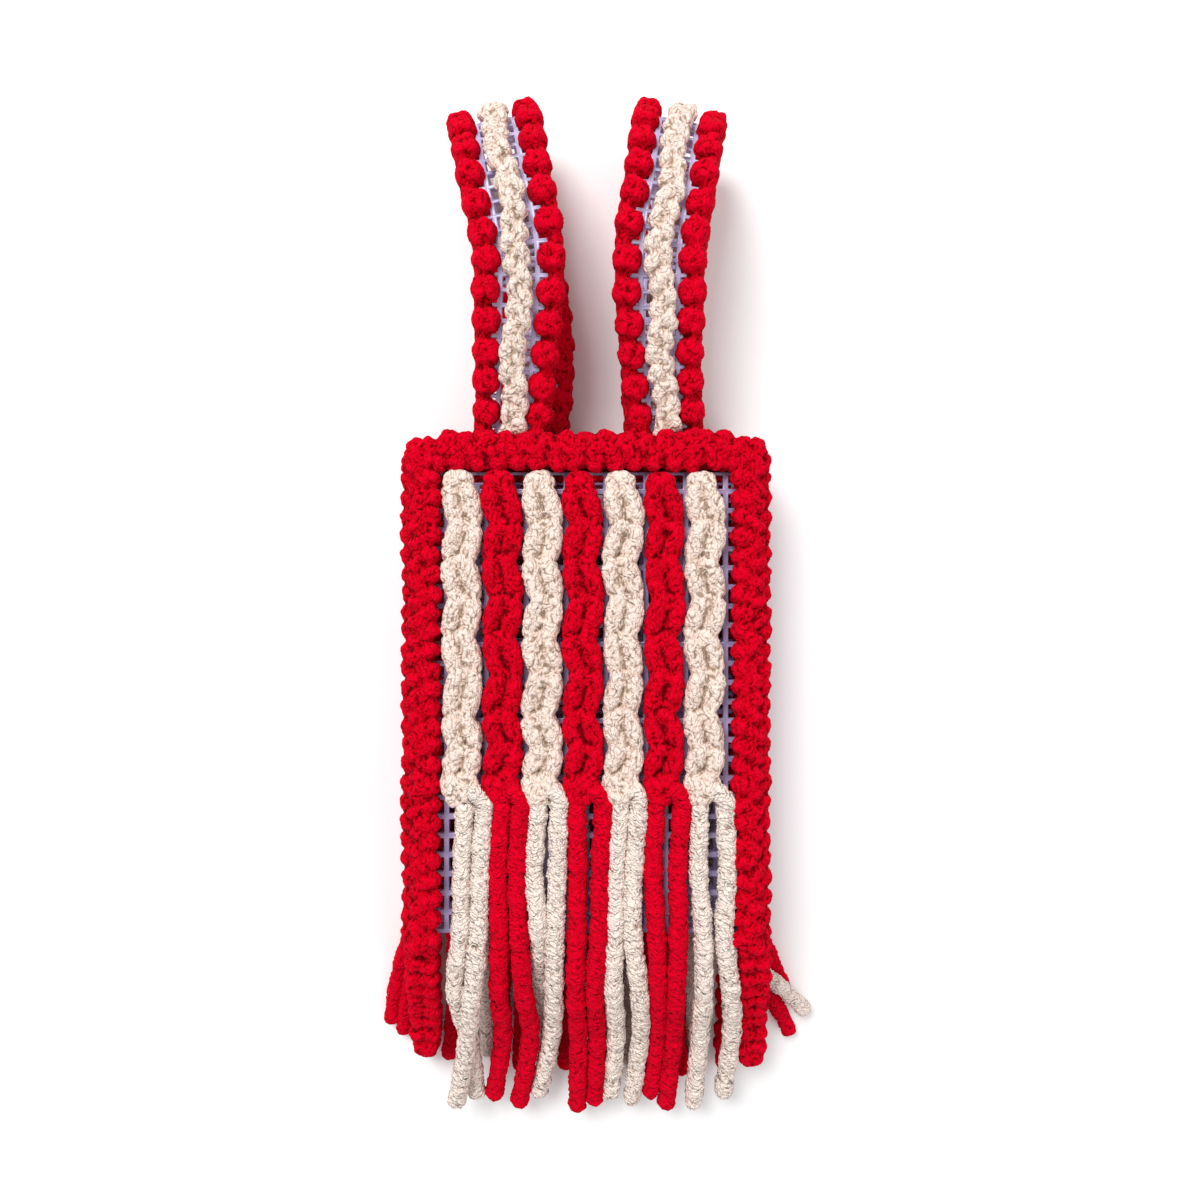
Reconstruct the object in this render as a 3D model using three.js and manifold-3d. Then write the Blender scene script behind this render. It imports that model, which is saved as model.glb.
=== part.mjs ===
// A bag of stiff open canvas worked with thick chenille yarn: striped chains down both faces, beaded
// borders round the mouth and the sides, two handles of the same canvas, and a fringe at the fold.
//
// Millimetres. The bag lies on its back: +X across it, +Y from the fringe towards the handles, +Z up.
// While it is built, x = 0 is the middle of the canvas, y = 0 the fold at its foot and z = 0 the
// surface it lies on. The group then moves so that the origin is under the middle of the bag's box.
import * as THREE from 'three';
import { mergeVertices } from 'three/addons/utils/BufferGeometryUtils.js';
import Module from 'manifold-3d';

const wasm = await Module();
wasm.setup();

// ---- driving dimensions ----
const GAP = 0.3; // between pieces that touch
const CANVAS = 2; // thickness of a canvas sheet
const CELL = 6.6; // pitch of the canvas across the bag
const DEPTH = 25.6; // from the back canvas to the front canvas
const BACK_Z = 7; // middle of the back canvas
const FRONT_Z = BACK_Z + DEPTH;
const RIM_LOW = 154.7; // foot of the binding round the mouth
const RIM_TOP = 168.5;
const RIM_DEPTH = { back: 11, side: 8, frontFoot: 28.8, frontTop: 40.2 }; // how thick the binding is
const BORDER_IN = 47.8; // inner edge of the beaded side border
const BORDER_OUT = 61.4;
const GUSSET_X = 57; // middle of the side strips
const YARN_RISE = 6.5; // yarn above the canvas it is worked on
const STRAND = 5.8; // thickness of one loose strand of yarn

const STRIPES = 7;
const STRIPE_PITCH = 2 * CELL;
const STRIPE_SHIFT = -0.9; // the stripes sit a little left of the middle
const STRIPE_WIDTH = 11.2;
const STRIPE_LOW = 50.5; // foot of each stripe, above its knot
const SWAY = 1.2; // how far a stripe leans left and right of its middle
const STRIPE_TURNS = [57, 66.5, 79, 86.5, 101, 111, 128, 138.5, 149]; // it leans left, right, left...
const KNOT = { width: 10.5, low: 41, high: 50, rise: 8 };
const STRIP_RISE = 3; // thickness of the strip that joins the knots

const FACE_TOP = FRONT_Z + CANVAS / 2;
const BACK_FOOT = BACK_Z - CANVAS / 2;

// ---- colours ----
const yarn = (name, color) => new THREE.MeshStandardMaterial({ name, color, roughness: 0.95, metalness: 0 });
const RED = yarn('red_chenille', 0xd3122c);
const CREAM = yarn('cream_chenille', 0xe9dccb);
const PLASTIC = new THREE.MeshStandardMaterial({
  name: 'lavender_canvas', color: 0x9682af, roughness: 0.35, metalness: 0,
});

// ---- shapes ----

// Six times the volume inside a triangle list, negative when it is inside out.
function signedVolume(points, faces) {
  let sum = 0;
  const [a, b, c] = [new THREE.Vector3(), new THREE.Vector3(), new THREE.Vector3()];
  for (let i = 0; i < faces.length; i += 3) {
    a.fromArray(points[faces[i]]);
    b.fromArray(points[faces[i + 1]]);
    c.fromArray(points[faces[i + 2]]);
    sum += a.dot(b.cross(c));
  }
  return sum;
}

// A closed skin over a row of rings with the same number of points, its ends closed by fans.
function loft(rings) {
  const count = rings[0].length;
  const points = rings.flat();
  const faces = [];
  for (let r = 0; r + 1 < rings.length; r += 1) {
    for (let i = 0; i < count; i += 1) {
      const near = [r * count + i, r * count + ((i + 1) % count)];
      const far = near.map((index) => index + count);
      faces.push(near[0], near[1], far[1], near[0], far[1], far[0]);
    }
  }
  const middle = (ring) => [0, 1, 2].map((axis) => ring.reduce((sum, p) => sum + p[axis], 0) / count);
  const firstOfLast = (rings.length - 1) * count;
  const centres = [points.push(middle(rings[0])) - 1, points.push(middle(rings.at(-1))) - 1];
  for (let i = 0; i < count; i += 1) {
    const next = (i + 1) % count;
    faces.push(centres[0], next, i, centres[1], firstOfLast + i, firstOfLast + next);
  }
  if (signedVolume(points, faces) < 0) faces.reverse();
  const geometry = new THREE.BufferGeometry();
  geometry.setAttribute('position', new THREE.Float32BufferAttribute(points.flat(), 3));
  geometry.setIndex(faces);
  return geometry;
}

// Directions across and out of a path at a point: across is as near to +X as it can be.
function directions(along) {
  const forward = along.clone().normalize();
  const across = new THREE.Vector3(1, 0, 0);
  across.addScaledVector(forward, -across.dot(forward)).normalize();
  return { across, out: across.clone().cross(forward) };
}

// A section, a list of [across, out], carried along a curve that is cut into equal steps, from the
// first step to the last. shape(t) gives the section at 0 <= t <= 1.
function sweep(curve, steps, shape, first = 0, last = steps) {
  const rings = [];
  for (let step = first; step <= last; step += 1) {
    const t = step / steps;
    const centre = curve.getPointAt(t);
    const { across, out } = directions(curve.getTangentAt(t));
    rings.push(shape(t).map(([u, v]) => centre.clone()
      .addScaledVector(across, u).addScaledVector(out, v).toArray()));
  }
  return loft(rings);
}

const curveThrough = (rows) => new THREE.CatmullRomCurve3(
  rows.map(({ x, y, z }) => new THREE.Vector3(x, y, z)), false, 'centripetal');

// A rounded section with the given number of sides.
function round(width, height, sides = 6) {
  return Array.from({ length: sides }, (_, i) => {
    const angle = ((i + 0.5) / sides) * 2 * Math.PI;
    return [(width / 2) * Math.cos(angle), (height / 2) * Math.sin(angle)];
  });
}

// A section with a flat foot and a domed top, between two heights.
function dome(width, foot, top) {
  const shoulder = foot + (top - foot) * 0.55;
  return [
    [-width / 2, foot], [width / 2, foot], [width / 2, shoulder],
    [width / 4, top], [-width / 4, top], [-width / 2, shoulder],
  ];
}

const tapered = (section, size) => section.map(([u, v]) => [u * size, v * size]);

// A flat outline in [y, z] made as long as width, centred on x.
function acrossBag(outline, width) {
  const settings = { depth: width, bevelEnabled: false, curveSegments: 3 };
  const geometry = new THREE.ExtrudeGeometry(outline, settings);
  const turn = new THREE.Matrix4().makeBasis(
    new THREE.Vector3(0, 1, 0), new THREE.Vector3(0, 0, 1), new THREE.Vector3(1, 0, 0));
  return geometry.applyMatrix4(turn).translate(-width / 2, 0, 0);
}

function box(low, high) {
  const size = high.map((value, axis) => value - low[axis]);
  const geometry = new THREE.BoxGeometry(...size);
  return geometry.translate(...low.map((value, axis) => value + size[axis] / 2));
}

function toSolid(geometry) {
  const bare = geometry.clone();
  bare.deleteAttribute('normal');
  bare.deleteAttribute('uv');
  const merged = mergeVertices(bare);
  return new wasm.Manifold(new wasm.Mesh({
    numProp: 3,
    vertProperties: new Float32Array(merged.attributes.position.array),
    triVerts: new Uint32Array(merged.index.array),
  }));
}

// Several overlapping shapes made one solid.
function joined(geometries) {
  const mesh = geometries.map(toSolid).reduce((whole, solid) => whole.add(solid)).getMesh();
  const geometry = new THREE.BufferGeometry();
  geometry.setAttribute('position', new THREE.Float32BufferAttribute(mesh.vertProperties, 3));
  geometry.setIndex(Array.from(mesh.triVerts));
  return geometry;
}

// ---- canvas ----

// One sheet: up the back, round the fold and up the front, with the strip that spans the sides.
function bodyCanvas() {
  const half = CANVAS / 2;
  const corner = 3;
  const top = RIM_LOW - GAP;
  const outline = new THREE.Shape();
  outline.moveTo(top, FRONT_Z + half);
  outline.lineTo(corner, FRONT_Z + half);
  outline.absarc(corner, FRONT_Z + half - corner, corner, Math.PI / 2, Math.PI, false);
  outline.lineTo(0, BACK_Z - half + corner);
  outline.absarc(corner, BACK_Z - half + corner, corner, Math.PI, Math.PI * 1.5, false);
  outline.lineTo(top, BACK_Z - half);
  outline.lineTo(top, BACK_Z + half);
  outline.lineTo(CANVAS, BACK_Z + half);
  outline.lineTo(CANVAS, FRONT_Z - half);
  outline.lineTo(top, FRONT_Z - half);
  const sheet = acrossBag(outline, 2 * (BORDER_IN - GAP));
  const reach = GUSSET_X - half - GAP;
  const base = box([-reach, 0, SIDE_FOOT], [reach, CANVAS, SIDE_TOP]);
  return joined([sheet, base]);
}

// ---- beaded borders ----
// Seen along the bag, from the inner edge round to the outer row of beads, on the +X side.
const BORDER_SECTION = [
  [BORDER_IN, 31.4], [48.2, 37.8], [50.6, 40.6], [54.6, 40.4], [58.2, 38.2],
  [61.2, 35.6], [61.4, 31.2], [59.4, 27.2], [55.6, 27.2], [53.6, 30.4],
];
const BORDER_MIDDLE = [54.3, 34.6];
const BORDER_FOOT = 27.2;
const SIDE_TOP = BORDER_FOOT - GAP; // the side strips reach from the back border to the front border
const BACK_FLATTEN = 0.87; // the back border is pressed a little flatter
const backHeight = (z) => (FRONT_Z - z) * BACK_FLATTEN + BACK_Z;
const SIDE_FOOT = backHeight(BORDER_FOOT) + GAP;

// The thick chain that hangs free below a border: the middle line of its way down to the surface.
const HANGING_CHAIN = { width: 10.6, height: 7.4 };
const CHAINS = [
  { face: 'front', side: -1, rows: [
    { x: -54.6, y: -12, z: 31.6 }, { x: -55.8, y: -31, z: 19.5 }, { x: -56.8, y: -48, z: 13 }] },
  { face: 'front', side: 1, rows: [
    { x: 56, y: -12, z: 31.6 }, { x: 57, y: -31, z: 19.5 }, { x: 57.8, y: -49.5, z: 13 }] },
  { face: 'back', side: -1, rows: [
    { x: -53.6, y: -12, z: 3.7 }, { x: -53.4, y: -34, z: 3.6 }, { x: -53, y: -54, z: 3.6 }] },
  { face: 'back', side: 1, rows: [
    { x: 52.6, y: -12, z: 3.7 }, { x: 51.4, y: -34, z: 3.6 }, { x: 50.4, y: -56, z: 3.6 }] },
];
// Loose red ends of the seam yarn, lying on the surface beside the back borders.
const SEAM_ENDS = [
  { side: -1, rows: [{ x: -54, y: 4, z: 4.4 }, { x: -64, y: -9, z: 3.4 },
    { x: -69.4, y: -27, z: 3 }, { x: -71.6, y: -43, z: 3 }] },
  { side: -1, rows: [{ x: -54, y: -6, z: 4.4 }, { x: -62.5, y: -17, z: 3.4 },
    { x: -65.6, y: -31, z: 3 }, { x: -67.2, y: -47, z: 3 }] },
  { side: 1, rows: [{ x: 54, y: 2, z: 4.4 }, { x: 66, y: -8.5, z: 4 },
    { x: 71.4, y: -19, z: 8 }, { x: 76, y: -32, z: 9.4 }] },
  { side: 1, rows: [{ x: 54, y: -23, z: 4.4 }, { x: 62.5, y: -28.5, z: 3.4 },
    { x: 69, y: -36.5, z: 3 }, { x: 74.6, y: -47, z: 3 }] },
];

function strand(rows, steps, height = STRAND) {
  return sweep(curveThrough(rows), steps, () => round(STRAND, height));
}

// A border down one edge of a face, its chain, and any loose ends that start in it.
function border(side, height, chain, ends) {
  const section = BORDER_SECTION.map(([x, z]) => [side * x, height(z)]);
  const middle = [side * BORDER_MIDDLE[0], height(BORDER_MIDDLE[1])];
  const ring = (y) => section.map(([x, z]) => [x, y, z]);
  const curve = curveThrough([{ x: middle[0], y: 3, z: middle[1] }, ...chain.rows]);
  const { width, height: thick } = HANGING_CHAIN;
  const size = (t) => (t > 0.95 ? 0.72 : 1);
  const hanging = sweep(curve, 7, (t) => tapered(round(width, thick, 8), size(t)));
  return joined([loft([ring(RIM_LOW - GAP), ring(0)]), hanging, ...ends.map(({ rows }) => strand(rows, 6))]);
}

// The binding over one edge of the mouth: an oval bar on the front or back, from edge to edge.
function mouthBinding(low, high) {
  const [y, z] = [(RIM_LOW + RIM_TOP) / 2, (low + high) / 2];
  const [reach, rise] = [(RIM_TOP - RIM_LOW) / 2, (high - low) / 2];
  const ring = (x, size) => round(2, 2, 10).map(([u, v]) => [x, y + u * reach * size, z + v * rise * size]);
  const shoulder = BORDER_OUT - 2;
  return loft([ring(-BORDER_OUT, 0.8), ring(-shoulder, 1), ring(shoulder, 1), ring(BORDER_OUT, 0.8)]);
}

// ---- stripes and their tails ----
const stripeX = (index) => (index - (STRIPES - 1) / 2) * STRIPE_PITCH + STRIPE_SHIFT;
const stripeMaterial = (index) => (index % 2 ? RED : CREAM);

// A zigzag chain worked over one column of cells; section is [across, height] at any place along it.
function stripe(index, section) {
  const ring = (y, lean) => section.map(([u, z]) => [stripeX(index) + lean + u, y, z]);
  const turns = STRIPE_TURNS.map((y, turn) => ring(y, turn % 2 ? SWAY : -SWAY));
  return loft([ring(STRIPE_LOW, 0), ...turns, ring(RIM_LOW - GAP, 0)]);
}

// Where each pair of tails lies: across the bag at the fold, half-way down and at the tip, measured
// from the middle of its stripe; how far below the fold its tip is; and how high it rides on others.
const FRONT_TAILS = [
  { stripe: 0, fold: -2.6, half: -1, tip: 2.4, reach: 65.5, ride: 0 },
  { stripe: 0, fold: 3.2, half: -0.6, tip: -5.2, reach: 65.5, ride: 5.6 },
  { stripe: 1, fold: -3.4, half: -4.2, tip: -5, reach: 66, ride: 0 },
  { stripe: 1, fold: 4, half: 8.2, tip: 5, reach: 68.5, ride: 0 },
  { stripe: 2, fold: -3.4, half: -2.4, tip: -1.4, reach: 40, ride: 0 },
  { stripe: 2, fold: 3, half: 0.4, tip: -3, reach: 65, ride: 0 },
  { stripe: 3, fold: -2.6, half: -2.2, tip: -1, reach: 70, ride: 0 },
  { stripe: 3, fold: 3.9, half: 3.6, tip: 3.4, reach: 67.5, ride: 0 },
  { stripe: 4, fold: -2.7, half: -3.6, tip: -3.2, reach: 65.5, ride: 0 },
  { stripe: 4, fold: 3, half: 5.6, tip: 3.6, reach: 67.5, ride: 0 },
  { stripe: 5, fold: -2, half: -1.4, tip: -2.5, reach: 65.5, ride: 0 },
  { stripe: 5, fold: 4.6, half: 3.4, tip: 2.8, reach: 69, ride: 0 },
  { stripe: 6, fold: -1.6, half: -2, tip: -4, reach: 69, ride: 0 },
  { stripe: 6, fold: 5.4, half: 8.6, tip: 6.2, reach: 65.5, ride: 0 },
];
const BACK_TAILS = [
  { stripe: 0, fold: -3, half: -3.4, tip: -3, reach: 57 },
  { stripe: 0, fold: 3, half: 3.2, tip: 4.4, reach: 55 },
  { stripe: 1, fold: -3, half: -3.4, tip: -5, reach: 58 },
  { stripe: 1, fold: 3, half: 3.6, tip: 2.4, reach: 60 },
  { stripe: 2, fold: -3, half: -2.4, tip: -4, reach: 56 },
  { stripe: 2, fold: 3, half: 4.4, tip: 5.4, reach: 61 },
  { stripe: 3, fold: -3, half: -2.6, tip: -1, reach: 57 },
  { stripe: 3, fold: 3, half: 4.4, tip: 6.2, reach: 58 },
  { stripe: 4, fold: -3, half: -4, tip: -3.4, reach: 55 },
  { stripe: 4, fold: 3, half: 3.4, tip: 3.6, reach: 59 },
  { stripe: 5, fold: -3, half: -3.4, tip: -1.6, reach: 60 },
  { stripe: 5, fold: 3, half: 3.4, tip: 5, reach: 57 },
  { stripe: 6, fold: -3, half: -3.6, tip: -2.6, reach: 58 },
];
// The last back tail crosses over the hanging chain beside it and ends out on the surface.
const STRAY_TAIL = [
  { x: stripeX(6) + 3, y: 43, z: 2.9 }, { x: 42, y: 6, z: 2.9 }, { x: 40.6, y: -4, z: 3.6 },
  { x: 42.2, y: -10, z: 8.4 }, { x: 47.5, y: -14.5, z: 11.6 }, { x: 54, y: -17.5, z: 11.6 },
  { x: 60.5, y: -20, z: 9.4 }, { x: 66.5, y: -23, z: 4.2 }, { x: 74, y: -32, z: 3.1 },
  { x: 80.5, y: -40, z: 3.1 },
];
const TAIL_START = { spread: 2.6, y: KNOT.low + 3 }; // inside a knot, either side of its middle
const FRONT_TAIL_Z = FACE_TOP + 2 * GAP + STRAND / 2;
const RESTING_Z = 1.5 * STRAND + GAP + 1; // front tails come down on the back ones
const BACK_TAIL_Z = (BACK_FOOT - GAP) / 2; // pressed flat between the canvas and the surface

// Height of a front tail: level on the canvas, then down in one easy curve.
function droop(y, reach) {
  const t = THREE.MathUtils.clamp(-y / reach, 0, 1);
  return THREE.MathUtils.lerp(FRONT_TAIL_Z, RESTING_Z, t * t * (3 - 2 * t));
}

function frontTail({ stripe: index, fold, half, tip, reach, ride }) {
  const x = stripeX(index);
  const start = Math.sign(fold) * TAIL_START.spread;
  const row = (offset, y, lift) => ({ x: x + offset, y, z: droop(y, reach) + lift });
  return strand([
    row(start, TAIL_START.y, 0), row(fold, 4, 0), row((fold + half) / 2, -reach * 0.25, ride * 0.5),
    row(half, -reach * 0.5, ride), row((half + tip) / 2, -reach * 0.76, ride), row(tip, -reach, ride),
  ], 8);
}

function backTail({ stripe: index, fold, half, tip, reach }) {
  const x = stripeX(index);
  const start = Math.sign(fold) * TAIL_START.spread;
  const row = (offset, y) => ({ x: x + offset, y, z: BACK_TAIL_Z });
  return strand(
    [row(start, TAIL_START.y), row(fold, 4), row(half, -reach * 0.5), row(tip, -reach)], 4, 2 * BACK_TAIL_Z);
}

// The row of knots that ends the stripes, on one strip along the fringe's edge. foot is the height
// of the canvas side of the knots, top that of their outer side.
function knots(foot, top) {
  const pieces = [];
  const section = dome(KNOT.width, foot, top);
  const middle = (KNOT.low + KNOT.high) / 2;
  const stripTop = foot + Math.sign(top - foot) * STRIP_RISE;
  for (let index = 0; index < STRIPES; index += 1) {
    const ring = (y, size) => section.map(([u, z]) => (
      [stripeX(index) + u * size, y, foot + (z - foot) * size]));
    pieces.push(loft([
      ring(KNOT.low, 0.7), ring(KNOT.low + 2, 1), ring(middle + 2, 1), ring(KNOT.high, 0.8)]));
  }
  pieces.push(box(
    [stripeX(0), middle - 2, Math.min(foot, stripTop)],
    [stripeX(STRIPES - 1), middle + 2, Math.max(foot, stripTop)]));
  return pieces;
}

// ---- handles ----
// The middle line of a handle, seen from the side: from inside the front of the mouth, up and over,
// and back along the surface to the inside of the back; and how far it leans across the bag.
const HANDLE_X = 25.3; // at its foot, from the middle of the bag
const HANDLE = [
  { beyond: -8, z: 27.3, lean: 0 }, { beyond: 2, z: 27.8, lean: 0 }, { beyond: 25, z: 36, lean: -1.4 },
  { beyond: 55, z: 43, lean: -0.6 }, { beyond: 80, z: 42, lean: 2.4 }, { beyond: 99, z: 34, lean: 5 },
  { beyond: 106.5, z: 21, lean: 7 }, { beyond: 100, z: 10, lean: 6.4 }, { beyond: 82, z: 7.3, lean: 4 },
  { beyond: 50, z: 7.3, lean: 0 }, { beyond: 25, z: 7.3, lean: -1.6 }, { beyond: 12, z: 9, lean: -1.8 },
  { beyond: 0, z: 12.7, lean: -1.8 }, { beyond: -8, z: 12.7, lean: -1.8 },
];
const HANDLE_STRIP = { half: 5.4, arch: 0.6 };
const HANDLE_EDGE = { x: 9.9, width: 9, height: 9 };
const HANDLE_CHAIN = { width: 9, rise: 5.6, foot: CANVAS / 2 + GAP };
const HANDLE_STEPS = 24;
const WORKED = [1, HANDLE_STEPS - 1]; // the yarn stops a step short of the two tucked-in ends

function handleCurve(side) {
  return curveThrough(HANDLE.map(({ beyond, z, lean: drift }) => (
    { x: side * (HANDLE_X + drift), y: RIM_TOP + beyond, z })));
}

// The canvas strip: a shallow arch in section, a sheet thick.
function handleStrip(side) {
  const { half, arch } = HANDLE_STRIP;
  const columns = [-1, 0, 1];
  const bend = (a) => -arch * a * a;
  const top = columns.map((a) => [a * half, bend(a) + CANVAS / 2]);
  const foot = columns.map((a) => [a * half, bend(a) - CANVAS / 2]).reverse();
  return sweep(handleCurve(side), HANDLE_STEPS, () => [...foot, ...top]);
}

function handleBinding(side, edge) {
  const { x, width, height } = HANDLE_EDGE;
  const drop = -HANDLE_STRIP.arch;
  const section = round(width, height, 8).map(([u, v]) => [edge * (x + GAP) + u, v + drop]);
  return sweep(handleCurve(side), HANDLE_STEPS, () => section, ...WORKED);
}

function handleChain(side) {
  const { width, rise, foot } = HANDLE_CHAIN;
  const section = dome(width, foot, foot + rise);
  return sweep(handleCurve(side), HANDLE_STEPS, () => section, ...WORKED);
}

// ---- the bag ----
const bag = new THREE.Group();

function add(name, geometry, material) {
  const mesh = new THREE.Mesh(geometry, material);
  mesh.name = name;
  bag.add(mesh);
}

add('body_canvas', bodyCanvas(), PLASTIC);
add('rim_front', mouthBinding(RIM_DEPTH.frontFoot, RIM_DEPTH.frontTop), RED);
add('rim_back', mouthBinding(0, RIM_DEPTH.back), RED);

for (const [name, side] of [['left', -1], ['right', 1]]) {
  const ofSide = (rows) => rows.filter((row) => row.side === side);
  const edge = side * GUSSET_X;
  add(`gusset_${name}`, box(
    [edge - CANVAS / 2, 0, SIDE_FOOT], [edge + CANVAS / 2, RIM_LOW - GAP, SIDE_TOP]), PLASTIC);
  add(`rim_${name}`, box(
    [edge - RIM_DEPTH.side / 2, RIM_LOW, RIM_DEPTH.back + GAP],
    [edge + RIM_DEPTH.side / 2, RIM_TOP, RIM_DEPTH.frontFoot - GAP]), RED);
  const [frontChain, backChain] = ofSide(CHAINS);
  add(`border_front_${name}`, border(side, (z) => z, frontChain, []), RED);
  add(`border_back_${name}`, border(side, backHeight, backChain, ofSide(SEAM_ENDS)), RED);
}

const frontSection = dome(STRIPE_WIDTH, FACE_TOP + GAP, FACE_TOP + YARN_RISE);
const backSection = dome(STRIPE_WIDTH, BACK_FOOT - GAP, 0);
for (let index = 0; index < STRIPES; index += 1) {
  add(`stripe_front_${index + 1}`, stripe(index, frontSection), stripeMaterial(index));
  add(`stripe_back_${index + 1}`, stripe(index, backSection), stripeMaterial(index));
}

const frontKnots = knots(FACE_TOP + GAP, FACE_TOP + GAP + KNOT.rise);
const backKnots = knots(BACK_FOOT - GAP, 0);
add('fringe_front', joined([...frontKnots, ...FRONT_TAILS.map(frontTail)]), CREAM);
const strayTail = strand(STRAY_TAIL, 12, 2 * BACK_TAIL_Z);
add('fringe_back', joined([...backKnots, ...BACK_TAILS.map(backTail), strayTail]), CREAM);

for (const [name, side] of [['left', -1], ['right', 1]]) {
  add(`handle_${name}_canvas`, handleStrip(side), PLASTIC);
  add(`handle_${name}_chain`, handleChain(side), CREAM);
  add(`handle_${name}_binding_outer`, handleBinding(side, side), RED);
  add(`handle_${name}_binding_inner`, handleBinding(side, -side), RED);
}

// The origin goes under the middle of the whole bag.
const whole = new THREE.Box3().setFromObject(bag);
const centre = whole.getCenter(new THREE.Vector3());
bag.position.set(-centre.x, -centre.y, -whole.min.z);

export default bag;
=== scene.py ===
"""A bag of stiff open canvas worked with thick chenille yarn, dressed for rendering.

The bag lies on its back: +X across it, +Y from the fringe towards the handles, +Z up. Places are
given in millimetres from the middle of the fold at the foot of the canvas, on the surface that the
bag lies on, and spot() turns them into metres in the frame of the CAD model.
"""
import math
import random

import bpy
import numpy as np
from mathutils import Matrix, Vector


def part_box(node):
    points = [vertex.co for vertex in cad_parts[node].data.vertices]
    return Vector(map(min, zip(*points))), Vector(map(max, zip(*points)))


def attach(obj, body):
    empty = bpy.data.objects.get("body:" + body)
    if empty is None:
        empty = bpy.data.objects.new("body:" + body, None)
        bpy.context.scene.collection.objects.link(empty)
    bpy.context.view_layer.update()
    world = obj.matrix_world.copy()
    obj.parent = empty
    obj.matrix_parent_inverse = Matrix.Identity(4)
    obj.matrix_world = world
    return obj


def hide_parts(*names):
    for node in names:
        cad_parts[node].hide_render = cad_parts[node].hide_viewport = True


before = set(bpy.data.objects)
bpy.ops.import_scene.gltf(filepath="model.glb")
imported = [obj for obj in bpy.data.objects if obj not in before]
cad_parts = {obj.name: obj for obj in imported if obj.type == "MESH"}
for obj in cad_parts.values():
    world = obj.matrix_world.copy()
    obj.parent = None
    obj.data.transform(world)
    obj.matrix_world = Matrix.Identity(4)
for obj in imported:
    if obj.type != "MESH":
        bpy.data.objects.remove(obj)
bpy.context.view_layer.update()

MM = 0.001
dice = random.Random(11)

# ---- sizes, in millimetres ----
CELL = 6.6            # pitch of the canvas across the bag
ROW = 6.33            # pitch of the canvas along the bag
BAR = 1.8             # width of a canvas bar
SHEET = 1.5           # thickness of a canvas bar
GROOVE = 0.3          # depth of the groove along the middle of each bar
COLUMNS = 16          # cells across a face
ROWS = 24             # cells along a face
SIDE_CELLS = 4        # cells from the back to the front
BACK_Z = 7            # middle of the back canvas
FRONT_Z = 32.6        # middle of the front canvas
FACE_TOP = 33.6       # outer side of the front canvas
BACK_FOOT = 6         # outer side of the back canvas
CANVAS_TOP = 154      # where the canvas ends, under the binding of the mouth
RIM_TOP = 168.5       # top of that binding
GUSSET_X = 57         # middle of the side strips
BACK_FLATTEN = 0.87   # the yarn on the back is pressed a little flatter

STRAND = 5.8          # thickness of a loose strand
STRIPES = 7
STRIPE_PITCH = 13.2   # two cells
STRIPE_SHIFT = -0.9   # the stripes sit a little left of the middle

canvas_low, canvas_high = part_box("body_canvas")
HOME = Vector(((canvas_low.x + canvas_high.x) / 2, canvas_low.y, canvas_low.z - BACK_FOOT * MM))


def spot(x, y, z):
    """A place given in millimetres from the fold, in metres in the frame."""
    return HOME + Vector((x, y, z)) * MM


def back_height(z):
    """The height on the back of what lies at height z on the front."""
    return (FRONT_Z - z) * BACK_FLATTEN + BACK_Z


def jitter(amount):
    return dice.uniform(-amount, amount)


# ---- camera, light and floor ----

CAMERA_PLACE = (4.6, 111.75, 322.6)
SENSOR_WIDTH = 36
LENS = 26.24


def set_camera():
    """A camera straight above the bag, looking down."""
    data = bpy.data.cameras.new("camera")
    data.sensor_width = SENSOR_WIDTH
    data.lens = LENS
    data.clip_start = 0.01
    camera = bpy.data.objects.new("camera", data)
    camera.location = spot(*CAMERA_PLACE)
    camera.rotation_euler = (0, 0, 0)
    bpy.context.scene.collection.objects.link(camera)
    bpy.context.scene.camera = camera


def area_light(name, place, size, power):
    """A round soft light that shines on the origin."""
    data = bpy.data.lights.new(name, "AREA")
    data.shape = "DISK"
    data.size = size
    data.energy = power
    light = bpy.data.objects.new(name, data)
    light.location = place
    light.rotation_euler = (-Vector(place)).to_track_quat("-Z", "Y").to_euler()
    bpy.context.scene.collection.objects.link(light)


def set_light():
    area_light("soft_key", (-0.5, 0.85, 1.25), size=0.8, power=20)
    area_light("soft_fill", (0.9, -0.5, 1.2), size=1.0, power=5)
    world = bpy.data.worlds.new("studio")
    world.use_nodes = True
    background = world.node_tree.nodes["Background"]
    background.inputs["Color"].default_value = (1, 1, 1, 1)
    background.inputs["Strength"].default_value = 0.6
    bpy.context.scene.world = world


# ---- materials ----

def new_material(name):
    material = bpy.data.materials.new(name)
    material.use_nodes = True
    tree = material.node_tree
    return material, tree, tree.nodes["Principled BSDF"]


def node(tree, kind, inputs=None, **settings):
    """A shader node with its settings, and its inputs set to numbers or joined to other sockets."""
    made = tree.nodes.new(kind)
    for name, value in settings.items():
        setattr(made, name, value)
    for key, value in (inputs or {}).items():
        if isinstance(value, bpy.types.NodeSocket):
            tree.links.new(value, made.inputs[key])
        else:
            made.inputs[key].default_value = value
    return made


def maths(tree, operation, first, second=0.0):
    """The sum, product or other result of two numbers or sockets."""
    return node(tree, "ShaderNodeMath", {0: first, 1: second}, operation=operation).outputs[0]


def colour_ramp(tree, factor, stops):
    """The colour between stops of [position, colour]."""
    ramp = node(tree, "ShaderNodeValToRGB", {"Fac": factor})
    elements = ramp.color_ramp.elements
    while len(elements) < len(stops):
        elements.new(0.5)
    for element, (position, colour) in zip(elements, stops):
        element.position = position
        element.color = (*colour, 1)
    return ramp.outputs["Color"]


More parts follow.
